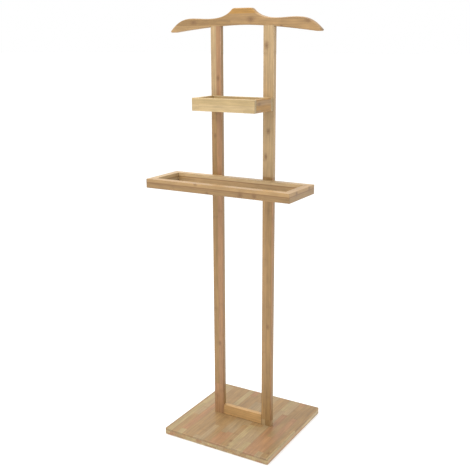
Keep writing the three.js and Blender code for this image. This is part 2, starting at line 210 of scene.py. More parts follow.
def strip_group():
    """The pattern of glued bamboo strips, in millimetres: X along the grain, Y across, Z through.

    Cane is split into strips 10 to 20 mm wide and 5 to 8 mm thick. They are planed, glued side by side
    and in layers, and joined end to end, so each strip has its own tone, fibres and row of knuckles.
    """
    if "Bamboo Strips" in bpy.data.node_groups:
        return bpy.data.node_groups["Bamboo Strips"]
    tree = bpy.data.node_groups.new("Bamboo Strips", "ShaderNodeTree")
    sockets = tree.interface
    sockets.new_socket("Vector", in_out="INPUT", socket_type="NodeSocketVector")
    for name in ("Strip", "Layer", "Length", "Stagger", "Seed", "Seam Width"):
        sockets.new_socket(name, in_out="INPUT", socket_type="NodeSocketFloat")
    for name in ("Tone", "Cast", "Depth", "Cloud", "Streak", "Fibre", "Knuckle", "Seam"):
        sockets.new_socket(name, in_out="OUTPUT", socket_type="NodeSocketFloat")
    given = add_node(tree, "NodeGroupInput").outputs
    kind = "ShaderNodeMath"

    # Which strip and which layer a point is in. Each layer's strips are stepped by 0.38 of a width.
    place = add_node(tree, "ShaderNodeSeparateXYZ", {0: given["Vector"]}).outputs
    through = add_node(tree, kind, {0: place["Z"], 1: given["Layer"]}, operation="DIVIDE").outputs[0]
    through = add_node(tree, kind, {0: through, 1: 0.5}, operation="ADD").outputs[0]
    layer = add_node(tree, kind, {0: through}, operation="FLOOR").outputs[0]
    stepped = add_node(tree, kind, {0: layer, 1: 0.38, 2: 0.5}, operation="MULTIPLY_ADD").outputs[0]
    across = add_node(tree, kind, {0: place["Y"], 1: given["Strip"]}, operation="DIVIDE").outputs[0]
    across = add_node(tree, kind, {0: across, 1: stepped}, operation="ADD").outputs[0]
    strip = add_node(tree, kind, {0: across}, operation="FLOOR").outputs[0]
    key = add_node(tree, "ShaderNodeCombineXYZ", {0: strip, 1: layer, 2: given["Seed"]}).outputs[0]
    luck = add_node(tree, "ShaderNodeTexWhiteNoise", {0: key}, noise_dimensions="3D").outputs
    luck = add_node(tree, "ShaderNodeSeparateColor", {0: luck["Color"]}).outputs

    # Which length of that strip, and the random tone and cast of that length
    start = add_node(tree, kind, {0: luck[0], 1: given["Stagger"]}, operation="MULTIPLY").outputs[0]
    along = add_node(tree, kind, {0: place["X"], 1: given["Length"]}, operation="DIVIDE").outputs[0]
    along = add_node(tree, kind, {0: along, 1: start}, operation="ADD").outputs[0]
    count = add_node(tree, kind, {0: along}, operation="FLOOR").outputs[0]
    seed = add_node(
        tree, kind, {0: count, 1: 17.0, 2: given["Seed"]}, operation="MULTIPLY_ADD"
    ).outputs[0]
    key = add_node(tree, "ShaderNodeCombineXYZ", {0: strip, 1: layer, 2: seed}).outputs[0]
    own_luck = add_node(tree, "ShaderNodeTexWhiteNoise", {0: key}, noise_dimensions="3D").outputs
    cast = add_node(tree, "ShaderNodeSeparateColor", {0: own_luck["Color"]}).outputs[1]

    # Glue lines, from the distance to the nearest side, face or end of the strip; drawn wide, they are
    # also a painted shadow line
    nearest = 1000.0
    for share, width in ((across, given["Strip"]), (through, given["Layer"]), (along, given["Length"])):
        share = add_node(tree, kind, {0: share, 1: 0.5}, operation="PINGPONG").outputs[0]
        gap = add_node(tree, kind, {0: share, 1: width}, operation="MULTIPLY").outputs[0]
        nearest = add_node(tree, kind, {0: gap, 1: nearest}, operation="MINIMUM").outputs[0]
    seam = add_node(
        tree, "ShaderNodeMapRange", {"Value": nearest, 1: 0.05, 2: given["Seam Width"], 3: 1.0, 4: 0.0},
        interpolation_type="SMOOTHSTEP",
    ).outputs[0]

    # Fibres run along the strip and differ from strip to strip: bundles 0.8 mm apart, streaks of 4 mm,
    # and clouds of 15 mm where the cane was darker. Each row gives turns per millimetre along, across
    # and through, and a roughness.
    shift = add_node(
        tree, "ShaderNodeVectorMath", {0: own_luck["Color"], 1: (900, 90, 90)}, operation="MULTIPLY"
    ).outputs[0]
    own = add_node(
        tree, "ShaderNodeVectorMath", {0: given["Vector"], 1: shift}, operation="ADD"
    ).outputs[0]
    grains = {}
    for name, stretch, rough in (
        ("Fibre", (0.03, 1.25, 1.25), 0.65), ("Streak", (0.008, 0.26, 0.26), 0.55),
        ("Cloud", (0.022, 0.065, 0.065), 0.6),
    ):
        drawn = add_node(
            tree, "ShaderNodeVectorMath", {0: own, 1: stretch}, operation="MULTIPLY"
        ).outputs[0]
        grains[name] = add_node(tree, "ShaderNodeTexNoise", {
            "Vector": drawn, "Scale": 1.0, "Detail": 3.0, "Roughness": rough,
        }).outputs[0]

    # Knuckles of the cane: a wavy brown line 4 mm wide in a soft halo of 18 mm, once in each gap
    wobble = add_node(
        tree, "ShaderNodeTexNoise", {"Vector": own, "Scale": 0.22, "Detail": 2.0}
    ).outputs[0]
    wavy = add_node(tree, kind, {0: wobble, 1: 7.0, 2: place["X"]}, operation="MULTIPLY_ADD").outputs[0]
    turn = add_node(tree, kind, {0: wavy, 1: KNUCKLE_GAP}, operation="DIVIDE").outputs[0]
    turn = add_node(tree, kind, {0: turn, 1: luck[1]}, operation="ADD").outputs[0]
    share = add_node(tree, kind, {0: turn, 1: 0.5}, operation="PINGPONG").outputs[0]
    away = add_node(tree, kind, {0: share, 1: KNUCKLE_GAP}, operation="MULTIPLY").outputs[0]
    line = add_node(
        tree, "ShaderNodeMapRange", {"Value": away, 1: 0.3, 2: 1.8, 3: 0.75, 4: 0.0},
        interpolation_type="SMOOTHSTEP",
    ).outputs[0]
    halo = add_node(
        tree, "ShaderNodeMapRange", {"Value": away, 1: 0.0, 2: 9.0, 3: 0.42, 4: 0.0},
        interpolation_type="SMOOTHSTEP",
    ).outputs[0]
    knuckle = add_node(tree, kind, {0: line, 1: halo}, operation="MAXIMUM").outputs[0]
    faded = add_node(tree, kind, {0: luck[2], 1: 0.65, 2: 0.35}, operation="MULTIPLY_ADD").outputs[0]
    knuckle = add_node(tree, kind, {0: knuckle, 1: faded}, operation="MULTIPLY").outputs[0]

    add_node(tree, "NodeGroupOutput", {
        "Tone": own_luck["Value"], "Cast": cast, "Depth": layer, "Cloud": grains["Cloud"],
        "Streak": grains["Streak"], "Fibre": grains["Fibre"], "Knuckle": knuckle, "Seam": seam,
    })
    return tree


def lacquered_bamboo(name, node, along, across, tones, strip, length, seed, layer=7.5, stagger=1.0,
                     knuckles=0.6, seam_and_shadow_width=0.5, seam_and_shadow_depth=0.4, lower_layer=1.0,
                     offset=(0, 0, 0), marks=()):
    """Carbonised laminated bamboo, planed, sanded and sprayed with satin lacquer.

    The eye sees strips of slightly different tan, each with fine straight fibres, a brown knuckle now
    and then, darker cut ends, and a soft sheen with no deep gloss. Sizes are in millimetres. Marks are
    knuckles that stand at a known place, and now and then a painted shadow drawn like one: along,
    across and through from the middle of the piece, and their size.
    """
    low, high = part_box(node)
    turn = Matrix((along, across, along.cross(across)))
    shift = Vector(offset) - turn @ ((low + high) / 2 / MM)
    shades = bpy.context.scene.bamboo_tones
    finish, tree = new_finish(name)

    where = add_node(tree, "ShaderNodeTexCoord").outputs
    place = add_node(tree, "ShaderNodeMapping", {
        "Vector": where["Object"], "Scale": (1 / MM,) * 3, "Rotation": turn.to_euler("XYZ"),
        "Location": shift,
    }).outputs[0]
    # A real glue line is about 0.1 mm. It is drawn about 0.5 mm wide or more, so that it shows; drawn
    # much wider and darker, it is partly a painted shadow line.
    pattern = add_node(tree, "ShaderNodeGroup", {
        "Vector": place, "Strip": strip, "Layer": layer, "Length": length, "Stagger": stagger,
        "Seed": seed, "Seam Width": seam_and_shadow_width,
    }, node_tree=strip_group()).outputs

    # Tone of each strip
    ramp = add_node(tree, "ShaderNodeValToRGB", {"Fac": pattern["Tone"]})
    ramp.color_ramp.interpolation = "CONSTANT"
    stops = ramp.color_ramp.elements
    while len(stops) < len(tones):
        stops.new(0.5)
    for index, shade in enumerate(tones):
        stops[index].position = index / len(tones)
        stops[index].color = getattr(shades, shade)
    colour = ramp.outputs["Color"]

    # Broad streaks and fine fibres lighten and darken it, and cut ends are darker than faces
    facing = add_node(
        tree, "ShaderNodeVectorMath", {0: where["Normal"], 1: along}, operation="DOT_PRODUCT"
    ).outputs["Value"]
    cut_end = add_node(tree, "ShaderNodeMath", {0: facing}, operation="ABSOLUTE").outputs[0]
    swings = (
        (pattern["Cast"], 0.0, 1.0, 0.95, 1.05), (pattern["Streak"], 0.3, 0.7, 0.82, 1.14),
        (pattern["Fibre"], 0.3, 0.72, 0.86, 1.1), (cut_end, 0.7, 0.95, 1.0, 0.85),
        (pattern["Cloud"], 0.3, 0.7, 0.88, 1.1), (pattern["Depth"], -1.0, 0.0, lower_layer, 1.0),
    )
    for source, start, end, at_start, at_end in swings:
        swing = add_node(
            tree, "ShaderNodeMapRange", {"Value": source, 1: start, 2: end, 3: at_start, 4: at_end}
        ).outputs[0]
        colour = add_node(
            tree, "ShaderNodeVectorMath", {0: colour, "Scale": swing}, operation="SCALE"
        ).outputs[0]

    # Knuckles, at random and at known places, and painted shadows drawn like knuckles at known places
    brown = add_node(
        tree, "ShaderNodeMath", {0: pattern["Knuckle"], 1: knuckles}, operation="MULTIPLY"
    ).outputs[0]
    ragged = add_node(
        tree, "ShaderNodeTexNoise", {"Vector": place, "Scale": 0.35, "Detail": 2.0}
    ).outputs[0]
    for *spot, width in marks:
        centre = Vector(spot) + Vector(offset)
        away = add_node(
            tree, "ShaderNodeVectorMath", {0: place, 1: centre}, operation="SUBTRACT"
        ).outputs[0]
        # A broad soft patch, and a thin line across the middle of it
        for thickness, depth in ((1.7 * width, 0.75), (0.35 * width, 0.9)):
            spread = add_node(
                tree, "ShaderNodeVectorMath",
                {0: away, 1: (2 / thickness, 2 / width, 1 / width)},
                operation="MULTIPLY",
            ).outputs[0]
            reach = add_node(
                tree, "ShaderNodeVectorMath", {0: spread}, operation="LENGTH"
            ).outputs["Value"]
            reach = add_node(
                tree, "ShaderNodeMath", {0: ragged, 1: 0.8, 2: reach}, operation="MULTIPLY_ADD"
            ).outputs[0]
            mark = add_node(
                tree, "ShaderNodeMapRange", {"Value": reach, 1: 0.4, 2: 1.7, 3: depth, 4: 0.0},
                interpolation_type="SMOOTHSTEP",
            ).outputs[0]
            brown = add_node(
                tree, "ShaderNodeMath", {0: brown, 1: mark}, operation="MAXIMUM"
            ).outputs[0]
    colour = add_node(
        tree, "ShaderNodeMix", {0: brown, 6: colour, 7: shades.knuckle}, data_type="RGBA"
    ).outputs[2]
    dark_line = add_node(
        tree, "ShaderNodeMath", {0: pattern["Seam"], 1: seam_and_shadow_depth}, operation="MULTIPLY"
    ).outputs[0]
    colour = add_node(
        tree, "ShaderNodeMix", {0: dark_line, 6: colour, 7: shades.seam}, data_type="RGBA"
    ).outputs[2]

    # The lacquer follows the fibres by a few hundredths of a millimetre and dips at each glue line
    sheen = add_node(
        tree, "ShaderNodeMapRange", {"Value": pattern["Fibre"], 1: 0.3, 2: 0.7, 3: 0.36, 4: 0.5}
    ).outputs[0]
    relief = add_node(
        tree, "ShaderNodeMath", {0: pattern["Seam"], 1: -1.2, 2: pattern["Fibre"]},
        operation="MULTIPLY_ADD",
    ).outputs[0]
    bump = add_node(
        tree, "ShaderNodeBump", {"Height": relief, "Strength": 0.6, "Distance": 0.04 * MM}
    ).outputs[0]
    shader = add_node(tree, "ShaderNodeBsdfPrincipled", {
        "Base Color": colour, "Roughness": sheen, "Normal": bump,
        "IOR": 1.48, "Coat Weight": 0.08, "Coat Roughness": 0.3,
    })
    add_node(tree, "ShaderNodeOutputMaterial", {"Surface": shader.outputs[0]})
    return finish


def zinc_steel():
    """Zinc-plated steel, tumbled: pale grey metal with a faint mottle from the plating bath."""
    finish, tree = new_finish("Zinc Plated Steel")
    where = add_node(tree, "ShaderNodeTexCoord").outputs["Object"]
    # Spangle of the plating, about 0.8 mm across
    mottle = add_node(
        tree, "ShaderNodeTexNoise", {"Vector": where, "Scale": 1 / (0.8 * MM), "Detail": 3.0}
    ).outputs[0]
    dull = add_node(
        tree, "ShaderNodeMapRange", {"Value": mottle, 1: 0.3, 2: 0.7, 3: 0.26, 4: 0.46}
    ).outputs[0]
    steel = Vector(bpy.context.scene.bamboo_tones.steel)
    colour = add_node(
        tree, "ShaderNodeMix", {0: mottle, 6: steel * 0.85, 7: steel}, data_type="RGBA"
    ).outputs[2]
    bump = add_node(
        tree, "ShaderNodeBump", {"Height": mottle, "Strength": 0.3, "Distance": 0.02 * MM}
    ).outputs[0]
    shader = add_node(tree, "ShaderNodeBsdfPrincipled", {
        "Base Color": colour, "Metallic": 1.0, "Roughness": dull, "Normal": bump,
    })
    add_node(tree, "ShaderNodeOutputMaterial", {"Surface": shader.outputs[0]})
    return finish


def turned_beech():
    """Bare turned beech: pale, even and matt, with the short brown flecks of its rays."""
    finish, tree = new_finish("Turned Beech")
    where = add_node(tree, "ShaderNodeTexCoord").outputs["Object"]
    # Rays are about 0.5 mm wide and 3 mm long
    flecks = add_node(tree, "ShaderNodeMapping", {
        "Vector": where, "Scale": (1 / (0.5 * MM), 1 / (0.5 * MM), 1 / (3 * MM)),
    }).outputs[0]
    ray = add_node(
        tree, "ShaderNodeTexNoise", {"Vector": flecks, "Scale": 1.0, "Detail": 2.0}
    ).outputs[0]
    share = add_node(
        tree, "ShaderNodeMapRange", {"Value": ray, 1: 0.45, 2: 0.75, 3: 0.0, 4: 1.0}
    ).outputs[0]
    beech = Vector(bpy.context.scene.bamboo_tones.beech)
    colour = add_node(
        tree, "ShaderNodeMix", {0: share, 6: beech, 7: beech * 0.72}, data_type="RGBA"
    ).outputs[2]
    bump = add_node(
        tree, "ShaderNodeBump", {"Height": ray, "Strength": 0.5, "Distance": 0.05 * MM}
    ).outputs[0]
    shader = add_node(tree, "ShaderNodeBsdfPrincipled", {
        "Base Color": colour, "Roughness": 0.7, "Normal": bump,
    })
    add_node(tree, "ShaderNodeOutputMaterial", {"Surface": shader.outputs[0]})
    return finish


def wool_felt():
    """Pressed wool felt: a matt brown mat of tangled fibres with a pale fuzz at grazing angles."""
    finish, tree = new_finish("Wool Felt")
    where = add_node(tree, "ShaderNodeTexCoord").outputs["Object"]
    # Tufts of fibre about 0.6 mm across
    tuft = add_node(
        tree, "ShaderNodeTexNoise",
        {"Vector": where, "Scale": 1 / (0.6 * MM), "Detail": 5.0, "Roughness": 0.8, "Distortion": 1.5},
    ).outputs[0]
    felt = Vector(bpy.context.scene.bamboo_tones.felt)
    colour = add_node(
        tree, "ShaderNodeMix", {0: tuft, 6: felt * 0.55, 7: felt * 1.35}, data_type="RGBA"
    ).outputs[2]
    bump = add_node(
        tree, "ShaderNodeBump", {"Height": tuft, "Strength": 0.9, "Distance": 0.2 * MM}
    ).outputs[0]
    shader = add_node(tree, "ShaderNodeBsdfPrincipled", {
        "Base Color": colour, "Roughness": 0.95, "Normal": bump,
        "Sheen Weight": 0.4, "Sheen Roughness": 0.5,
    })
    add_node(tree, "ShaderNodeOutputMaterial", {"Surface": shader.outputs[0]})
    return finish


# ---------------------------------------------------------------- shaping


def ease(bm, edges, radius, steps):
    """Round some edges, and shade only the new faces smooth."""
    rounded = bmesh.ops.bevel(
        bm, geom=edges, offset=radius, offset_type="OFFSET", segments=steps, profile=0.5,
        affect="EDGES", clamp_overlap=True, material=-1,
    )
    for face in rounded["faces"]:
        face.smooth = True


def block(low, high):
    """A plain block between two corners."""
    bm = bmesh.new()
    bmesh.ops.create_cube(bm, size=1)
    bmesh.ops.scale(bm, vec=high - low, verts=bm.verts)
    bmesh.ops.translate(bm, vec=(low + high) / 2, verts=bm.verts)
    return bm


def edges_along(bm, direction):
    """The edges that run one way."""
    found = []
    for edge in bm.edges:
        run = edge.verts[0].co - edge.verts[1].co
        if abs(run.normalized().dot(direction)) > 0.999:
            found.append(edge)
    return found


def edges_square_to(bm, direction):
    """The edges that don't rise or fall along a direction."""
    return [e for e in bm.edges if abs((e.verts[0].co - e.verts[1].co).dot(direction)) < LEVEL]


def finished_mesh(bm, name):
    """The bmesh as a mesh of closed, outward faces."""
    bmesh.ops.recalc_face_normals(bm, faces=bm.faces)
    mesh = bpy.data.meshes.new(name)
    bm.to_mesh(mesh)
    bm.free()
    return mesh


def cut_away(piece, cutters):
    """Cut closed shapes that stand clear of one another out of a piece. The shapes are used up."""
    joined = bmesh.new()
    for bm in cutters:
        shape = finished_mesh(bm, "cutter")
        joined.from_mesh(shape)
        bpy.data.meshes.remove(shape)
    mesh = bpy.data.meshes.new("cutter")
    joined.to_mesh(mesh)
    joined.free()
    tool = bpy.data.objects.new("cutter", mesh)
    bpy.context.scene.collection.objects.link(tool)
    cut = piece.modifiers.new("Cut", "BOOLEAN")
    cut.operation = "DIFFERENCE"
    cut.solver = "EXACT"
    cut.object = tool
    depsgraph = bpy.context.evaluated_depsgraph_get()
    piece.data = bpy.data.meshes.new_from_object(piece.evaluated_get(depsgraph))
    piece.modifiers.clear()
    bpy.data.objects.remove(tool)
    bpy.data.meshes.remove(mesh)


def place_piece(name, bm, finish, slot, *nodes):
    """Make a bmesh a piece of the stand, in place of its CAD nodes."""
    piece = bpy.data.objects.new(name, finished_mesh(bm, name))
    bpy.context.scene.collection.objects.link(piece)
    piece.data.materials.append(finish)
    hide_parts(*nodes)
    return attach(piece, "root")


def spun(profile, steps):
    """A turned shape about Z from [radius, height] points that start and end on the axis."""
    bm = bmesh.new()
    points = [bm.verts.new((radius, 0, height)) for radius, height in profile]
    edges = [bm.edges.new(pair) for pair in zip(points, points[1:])]
    bmesh.ops.spin(
        bm, geom=points + edges, cent=(0, 0, 0), axis=Z, dvec=(0, 0, 0), angle=math.tau, steps=steps,
        use_merge=True, use_normal_flip=False, use_duplicate=False,
    )
    bmesh.ops.remove_doubles(bm, verts=bm.verts, dist=0.001 * MM)
    return bm


def stand_at(bm, place, direction):
    """Turn a shape from Z to a direction, and move its origin to a place."""
    turn = Z.rotation_difference(direction).to_matrix()
    bmesh.ops.rotate(bm, cent=(0, 0, 0), matrix=turn, verts=bm.verts)
    bmesh.ops.translate(bm, vec=place, verts=bm.verts)
    return bm


# ---------------------------------------------------------------- screws and dowels


def screw_facts(node):
    """Where a screw's head is, the way its point goes, its head's radius and its length."""
    low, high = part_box(node)
    middle = (low + high) / 2
    reach = high - low
    if reach.z > reach.y:
        return Vector((middle.x, middle.y, low.z)), Z, reach.x / 2, reach.z
    return Vector((middle.x, high.y, middle.z)), -Y, reach.x / 2, reach.y


def screw_hole(node, shape):
    """The countersunk hole for a screw, open behind its head."""
    place, direction, head, reach = screw_facts(node)
    gap = shape.hole_clearance
    shank = SHANK * head + gap
    cone = head - SHANK * head
    behind = -2 * MM
    end = reach + EXTRA_DEPTH
    profile = [
        (0, behind), (head + gap, behind), (head + gap, gap),
        (shank, cone + gap), (shank, end), (0, end),
    ]
    return stand_at(spun(profile, shape.round_steps), place, direction)


def dowel_facts(node):
    """A dowel's middle, the way that it lies, its radius and its length."""
    low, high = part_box(node)
    across = high - low
    middle = (low + high) / 2
    if "mitre" in node:
        # It lies square to the mitre, which runs from the inner corner to the outer one
        radius = across.z / 2
        turned = Vector((-1 if "left" in node else 1, 1 if "front" in node else -1, 0)).normalized()
        reach = across.x * math.sqrt(2) - 2 * (radius - DOWEL_CHAMFER)
        return middle, turned, radius, reach
    along = max(X, Y, Z, key=across.dot)
    return middle, along, min(across) / 2, across.dot(along)


def dowel_hole(node, shape):
    """The round hole for a dowel, a little longer than it."""
    middle, along, radius, reach = dowel_facts(node)
    wide = radius + shape.hole_clearance
    end = reach / 2 + EXTRA_DEPTH
    profile = [(0, -end), (wide, -end), (wide, end), (0, end)]
    return stand_at(spun(profile, shape.round_steps), middle, along)


def bore(piece, fasteners):
    """Cut the holes for these screws and dowels out of a piece."""
    shape = bpy.context.scene.valet_shape
    cut_away(piece, [
        screw_hole(node, shape) if "screw" in node else dowel_hole(node, shape) for node in fasteners
    ])


def make_screw(node, finish, shape):
    """A countersunk wood screw with a cross recess, a threaded shank and a sharp point."""
    place, direction, head, reach = screw_facts(node)
    crest = SHANK * head
    root = 0.7 * crest
    neck = 0.9 * crest
    cone = head - crest
    pitch = 0.55 * head
    tip = 2.5 * head
    rim = 0.15 * MM
    profile = [(0, 0), (head - rim, 0), (head, rim), (neck, cone), (neck, 2 * cone)]
    for thread in range(int((reach - 2 * cone) / pitch)):
        height = 2 * cone + thread * pitch
        taper = min(1, (reach - height) / tip)
        profile.append((root * taper, height + 0.25 * pitch))
        profile.append((root * taper, height + 0.6 * pitch))
        profile.append((crest * taper, height + 0.85 * pitch))
    profile.append((0, reach))
    screw = place_piece(f"zinc_{node}", spun(profile, shape.round_steps), finish, "screw_steel", node)
    # The cross recess: two slots that narrow as they go down
    arm = Vector((0.5 * head, 0.13 * head, 0.4 * head))
    for turn in (0, math.pi / 2):
        slot = block(-arm, arm)
        deep = [v for v in slot.verts if v.co.z > 0]
        bmesh.ops.scale(slot, vec=(0.4, 0.7, 1), verts=deep)
        bmesh.ops.rotate(slot, cent=(0, 0, 0), matrix=Matrix.Rotation(turn, 3, "Z"), verts=slot.verts)
        cut_away(screw, [slot])
    turn = Z.rotation_difference(direction).to_matrix().to_4x4()
    screw.data.transform(Matrix.Translation(place) @ turn)


def make_dowel(node, finish):
    """A fluted dowel: grooves along it let the glue out, and its ends are chamfered."""
    middle, along, radius, reach = dowel_facts(node)
    flutes = 16
    flute_bottom = 0.93    # of the radius
    bm = bmesh.new()
    bmesh.ops.create_cone(
        bm, cap_ends=True, cap_tris=False, segments=2 * flutes, radius1=radius, radius2=radius,
        depth=reach,
    )
    rims = [e for e in bm.edges if len(e.link_faces[0].verts) != len(e.link_faces[1].verts)]
    ease(bm, rims, DOWEL_CHAMFER, 1)
    grooves = [v for v in bm.verts if round(math.atan2(v.co.y, v.co.x) * flutes / math.pi) % 2]
    bmesh.ops.scale(bm, vec=(flute_bottom, flute_bottom, 1), verts=grooves)
    place_piece(f"beech_{node}", stand_at(bm, middle, along), finish, "dowel_beech", node)


# ---------------------------------------------------------------- timber


def bar(node, along, edge, steps, mitres=(), ends=False):
    """A bar in a node's box, with its long edges sanded round.

    Each mitre is a plane, given by a point and the way out. With ends, the ends are sanded round too.
    """
    bm = block(*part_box(node))
    for point, outward in mitres:
        geom = bm.verts[:] + bm.edges[:] + bm.faces[:]
        bmesh.ops.bisect_plane(bm, geom=geom, plane_co=point, plane_no=outward, clear_outer=True)
        bmesh.ops.holes_fill(bm, edges=bm.edges, sides=4)
    ease(bm, bm.edges[:] if ends else edges_along(bm, along), edge, steps)
    return bm


def make_base():
    """A square board, with its upright corners and both rims rounded."""
    shape = bpy.context.scene.valet_shape
    low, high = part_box("base_board")
    bm = block(low, high)
    ease(bm, edges_along(bm, Z), shape.base_corner, 2 * shape.edge_steps)
    ease(bm, edges_square_to(bm, Z), shape.base_edge, shape.edge_steps)
    finish = lacquered_bamboo(
        "Lacquered Bamboo Base", "base_board", Y, X,
        ("honey", "blush", "honey", "blush", "rose", "honey", "straw"),
        strip=17.7, layer=7.2, length=205, seed=848772, knuckles=0.5, seam_and_shadow_width=0.8, lower_layer=0.78,
        offset=(0, -2.7, 0),
        marks=((-132, 34, -9, 11), (-158, 39, -9, 10), (-138, 153, -9, 12)),
    )
    base = place_piece("bamboo_base", bm, finish, "base_bamboo", "base_board")
    bore(base, [f"{kind}_screw_{side}" for kind in ("upright", "rail") for side in SIDES])


def make_feet():
    """Felt discs, pressed thinner round the rim."""
    finish = wool_felt()
    shape = bpy.context.scene.valet_shape
    for end in ENDS:
        for side in SIDES:
            node = f"felt_foot_{end}_{side}"
            low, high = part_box(node)
            radius = (high.x - low.x) / 2
            thick = high.z - low.z
            profile = [
                (0, 0), (0.86 * radius, 0), (0.96 * radius, 0.12 * thick), (radius, 0.45 * thick),
                (radius, 0.8 * thick), (0.97 * radius, thick), (0, thick),
            ]
            bm = spun(profile, shape.round_steps)
            for face in bm.faces:
                face.smooth = abs(face.normal.z) < 0.9
            middle = Vector(((low.x + high.x) / 2, (low.y + high.y) / 2, low.z))
            place_piece(f"wool_{node}", stand_at(bm, middle, Z), finish, "foot_felt", node)


def make_uprights():
    """Two flat bars from the base to the hanger board, each with its own tones and knuckles, a pale
    length at the top and darker lengths below it: painted shade, darker towards the bottom.
    """
    shape = bpy.context.scene.valet_shape
    marks = {
        "left": ((-330, 4, -6.5, 12), (132, 3, -6.5, 11), (420, 6, -6.5, 12), (268, -5, -6.5, 10)),
        "right": ((502.7, -6, -6.5, 16), (288, 1, -6.5, 13), (222, -6, -6.5, 12), (-250, 3, -6.5, 12)),
    }
    # Each seed, strip length and shift sets where the joints between lengths fall, so the top length is
    # pale and the lower ones darker: painted shade, darker towards the bottom, over the strips' own
    # tones.
    runs = (("left", 10893, 816, (-358.2, -3, 0)), ("right", 1145, 702, (-168.2, 1, 0)))
    for side, seed, length, shift in runs:
        node = f"upright_{side}"
        finish = lacquered_bamboo(
            f"Lacquered Bamboo Upright {side}", node, Z, X, ("blush", "russet", "caramel", "hazel"),
            strip=16, length=length, stagger=0, seed=seed, offset=shift, marks=marks[side],
        )
        bm = bar(node, Z, shape.bar_edge, shape.edge_steps)
        upright = place_piece(f"bamboo_{node}", bm, finish, "upright_bamboo", node)
        kinds = ("rail_dowel", "tray_screw", "trouser_screw")
        bore(upright, [f"upright_screw_{side}"]
             + [f"hanger_dowel_{side}_{place}" for place in ("inner", "outer")]
             + [f"{kind}_{side}_{height}" for kind in kinds for height in HEIGHTS])


def make_rail():
    """A short bar on the base between the uprights, of one tone, though a ramp has to have two. Its pale
    toffee tone is painted light, which lifts the shade between the base and the uprights.
    """
    shape = bpy.context.scene.valet_shape
    node = "bottom_rail"
    # Toffee, pale and warm, is painted light against the shade that the base and the uprights throw on
    # the rail.
    finish = lacquered_bamboo(
        "Lacquered Bamboo Rail", node, X, Z, ("toffee", "toffee"), strip=10.5, length=300, seed=8,
    )
    bm = bar(node, X, shape.bar_edge, shape.edge_steps)
    rail = place_piece("bamboo_rail", bm, finish, "upright_bamboo", node)
    bore(rail, [f"rail_screw_{side}" for side in SIDES]
         + [f"rail_dowel_{side}_{height}" for side in SIDES for height in HEIGHTS])


def hanger_outline(top):
    """Half of the hanger's outline, from the top of its neck out to the tip and back under the arm.

    Each curve is a number of points and four handles, in millimetres from the middle of the top.
    """
    curves = (
        # shoulder of the neck, flank of the neck, slight swelling of the arm
        (5, (22, 0), (25.2, 0), (27.9, -1.1), (30, -3.2)),
        (16, (30, -3.2), (42.2, -16.3), (62.4, -25.2), (102, -25.2)),
        (8, (102, -25.2), (121.2, -25.2), (130.8, -23.4), (150, -23.4)),
        # slope to the tip, rounded tip, long arch underneath
        (14, (150, -23.4), (183.6, -23.4), (199.7, -34.2), (220, -55.2)),
        (5, (220, -55.2), (220, -57.6), (218.8, -58.8), (216.4, -58.8)),
        (20, (208, -58.8), (164.3, -53), (70.7, -41.6), (0, -41.6)),
    )
    outline = [Vector((0, 0))]
    for steps, *handles in curves:
        for point in interpolate_bezier(*map(Vector, handles), steps):
            if (point - outline[-1]).length > 0.01:
                outline.append(point)
    return [top + Vector((point.x, 0, point.y)) * MM for point in outline]


def make_hanger():
    """One board, sawn to its outline, rounded over along both faces and notched for the uprights."""
    shape = bpy.context.scene.valet_shape
    low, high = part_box("hanger_board")
    bm = bmesh.new()
    points = [bm.verts.new(co) for co in hanger_outline(Vector((0, low.y, high.z)))]
    edges = [bm.edges.new(pair) for pair in zip(points, points[1:])]
    bmesh.ops.mirror(bm, geom=points + edges, axis="X", merge_dist=0.01 * MM)
    bmesh.ops.contextual_create(bm, geom=bm.edges[:])
    grown = bmesh.ops.extrude_face_region(bm, geom=bm.faces[:])["geom"]
    back = [v for v in grown if isinstance(v, bmesh.types.BMVert)]
    bmesh.ops.translate(bm, vec=Y * (high.y - low.y), verts=back)
    for face in bm.faces:
        face.smooth = abs(face.normal.y) < 0.5
    ease(bm, edges_square_to(bm, Y), shape.hanger_edge, shape.edge_steps)
    finish = lacquered_bamboo(
        "Lacquered Bamboo Hanger", "hanger_board", X, Z, ("caramel", "amber", "hazel", "honey"),
        strip=14, length=330, seed=11660, knuckles=0.35,
        marks=((-146, -4.6, 9, 17), (26, 0.4, 9, 18), (186, -2.6, 9, 16), (113, -15.6, 9, 8)),
    )
    hanger = place_piece("bamboo_hanger", bm, finish, "hanger_bamboo", "hanger_board")
    # Each seat runs right through from front to back
    gap = Vector((0.3 * MM, 20 * MM, 0.15 * MM))
    seats = []
    for side in SIDES:
        side_low, side_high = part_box(f"upright_{side}")
        seats.append(block(side_low - gap, side_high + gap))
    cut_away(hanger, seats)
    bore(hanger, [f"hanger_dowel_{side}_{place}" for side in SIDES for place in ("inner", "outer")])


def corner_dowels(kind, place):
    """The corner dowels that go into the front, the back, the left or the right of a frame."""
    return [f"{kind}_dowel_{end}_{side}" for end in ENDS for side in SIDES if place in (end, side)]


